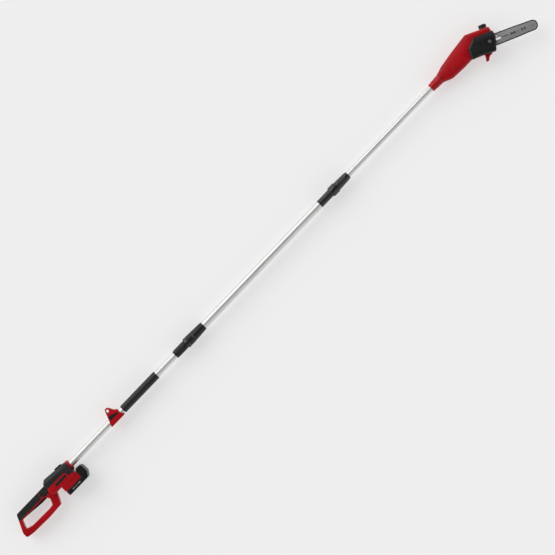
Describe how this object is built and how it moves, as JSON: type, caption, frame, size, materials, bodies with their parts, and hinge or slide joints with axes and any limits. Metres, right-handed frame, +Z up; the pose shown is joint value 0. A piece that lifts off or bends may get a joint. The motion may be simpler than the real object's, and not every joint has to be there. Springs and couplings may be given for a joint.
{
  "type": "telescoping pole saw",
  "caption": "Cordless telescoping pole saw: nested aluminium tubes with twist locks, battery hand grip, strap bracket, and a geared head with guide bar and saw chain.",
  "frame": {"origin": "on the flat left side of the rear housing, on the ground, straight under the pole's axis", "axes": "+X along the pole to the saw head, +Y to the tool's top side, away from the battery, +Z up, out of the side that carries the guide bar"},
  "size_m": [2.8901, 0.1936, 0.076],
  "materials": {
    "red_shell": "satin moulded",
    "black_shell": "fine moulded grain",
    "soft_grip": "soft-touch, fine grain",
    "foam": "closed-cell foam",
    "tube": "anodised satin, drawn",
    "bar_steel": "ground",
    "chain_steel": "oiled, dark",
    "cell_sleeve": "shrink sleeve",
    "board": "lacquered",
    "tank": "translucent, read as opaque",
    "label": "satin",
    "rubber": "smooth"
  },
  "bodies": {
    "root": {"housing_left": "red_shell", "housing_right": "red_shell", "body_skin": "soft_grip", "grip_skin": "soft_grip", "mouth_ring": "red_shell", "label_plate": "label", "top_pad": "black_shell", "trigger_pin": "bar_steel", "switch_module": "black_shell", "control_board": "board", "terminal_block": "black_shell", "tube_lower": "tube", "front_grip": "foam", "lead_lower": "rubber", "housing_screw_1": "bar_steel", "housing_screw_2": "bar_steel", "housing_screw_3": "bar_steel"},
    "trigger": {"trigger": "black_shell"},
    "lock_off": {"lock_off_button": "black_shell"},
    "battery": {"battery_case": "black_shell", "battery_cells": "cell_sleeve"},
    "latch": {"battery_latch": "red_shell"},
    "strap": {"strap_bracket": "red_shell", "strap_screw": "black_shell"},
    "middle": {"tube_middle": "tube", "lower_clamp_body": "black_shell", "upper_clamp_body": "black_shell", "lower_collet": "black_shell", "upper_collet": "black_shell", "coiled_lead": "rubber"},
    "lower_nut": {"lower_lock_nut": "black_shell"},
    "upper_nut": {"upper_lock_nut": "black_shell"},
    "head": {"tube_upper": "tube", "guide_bush": "black_shell", "lead_upper": "rubber", "head_collar": "red_shell", "head_shell_left": "red_shell", "head_shell_right": "red_shell", "motor_can": "bar_steel", "gear_plate": "tube", "bearing_low": "bar_steel", "bearing_high": "bar_steel", "oil_tank": "tank", "oil_pump": "black_shell", "branch_hook": "red_shell", "chain_cover": "black_shell", "bar_stud": "bar_steel", "cover_nut": "bar_steel", "head_screw_1": "bar_steel", "head_screw_2": "bar_steel", "saw_chain": "chain_steel"},
    "motor": {"motor_shaft": "bar_steel"},
    "output": {"output_shaft": "bar_steel", "drive_sprocket": "chain_steel"},
    "bar": {"guide_bar": "bar_steel", "tension_block": "bar_steel"},
    "nose": {"nose_sprocket": "chain_steel"},
    "tension": {"tension_screw": "bar_steel"},
    "oil_seal": {"oil_cap_seal": "rubber"},
    "oil_cap": {"oil_cap": "black_shell"}
  },
  "joints": [
    {"name": "trigger_pull", "type": "hinge", "parent": "root", "child": "trigger", "pos_m": [-0.203, -0.0115, 0.038], "axis": [0, 0, 1], "range_deg": [0, 4.5], "stiffness_Nm_per_rad": 0.8, "springref_deg": -8.59},
    {"name": "lock_off_press", "type": "slide", "parent": "root", "child": "lock_off", "axis": [0, 0, -1], "range_m": [0, 0.003], "stiffness_N_per_m": 300, "springref_m": -0.004},
    {"name": "battery_slide", "type": "slide", "parent": "root", "child": "battery", "axis": [1, 0, 0], "range_m": [0, 0.092]},
    {"name": "latch_press", "type": "slide", "parent": "battery", "child": "latch", "axis": [0, -1, 0], "range_m": [0, 0.003], "stiffness_N_per_m": 300, "springref_m": -0.004},
    {"name": "strap_bracket_slide", "type": "slide", "parent": "root", "child": "strap", "axis": [1, 0, 0], "range_m": [-0.2, 0.005]},
    {"name": "lower_pole_slide", "type": "slide", "parent": "root", "child": "middle", "axis": [1, 0, 0], "range_m": [-0.1, 0]},
    {"name": "lower_lock_turn", "type": "hinge", "parent": "middle", "child": "lower_nut", "pos_m": [0.7035, 0, 0.038], "axis": [1, 0, 0], "range_deg": [0, 120]},
    {"name": "upper_lock_turn", "type": "hinge", "parent": "middle", "child": "upper_nut", "pos_m": [1.637, 0, 0.038], "axis": [1, 0, 0], "range_deg": [-120, 0]},
    {"name": "upper_pole_slide", "type": "slide", "parent": "middle", "child": "head", "axis": [1, 0, 0], "range_m": [-0.42, 0], "deforming": ["coiled_lead"]},
    {"name": "sprocket_spin", "type": "hinge", "parent": "head", "child": "output", "pos_m": [2.38756, -0.01496, 0.03], "axis": [0, 0, 1], "continuous": true},
    {"name": "motor_spin", "type": "hinge", "parent": "head", "child": "motor", "pos_m": [2.24, -0.01496, 0.03], "axis": [1, 0, 0], "continuous": true},
    {"name": "bar_take_up", "type": "slide", "parent": "head", "child": "bar", "axis": [0.9063, -0.4226, 0], "range_m": [-0.004, 0]},
    {"name": "nose_spin", "type": "hinge", "parent": "bar", "child": "nose", "pos_m": [2.60788, -0.1177, 0.0588], "axis": [0, 0, 1], "continuous": true},
    {"name": "tension_screw_turn", "type": "hinge", "parent": "head", "child": "tension", "pos_m": [2.43303, -0.04996, 0.0673], "axis": [0.9063, -0.4226, 0], "range_deg": [0, 1800]},
    {"name": "oil_cap_lift", "type": "slide", "parent": "head", "child": "oil_seal", "axis": [0.4226, 0.9063, 0], "range_m": [0, 0.006]},
    {"name": "oil_cap_turn", "type": "hinge", "parent": "oil_seal", "child": "oil_cap", "pos_m": [2.46654, 0.01717, 0.03], "axis": [0.4226, 0.9063, 0], "range_deg": [0, 540]}
  ],
  "couplings": [
    {"joint": "motor_spin", "follows": "sprocket_spin", "ratio": -3},
    {"joint": "nose_spin", "follows": "sprocket_spin", "ratio": 1},
    {"joint": "oil_cap_lift", "follows": "oil_cap_turn", "m_per_rad": 0.0006},
    {"joint": "tension_screw_turn", "follows": "bar_take_up", "rad_per_m": -7854}
  ]
}
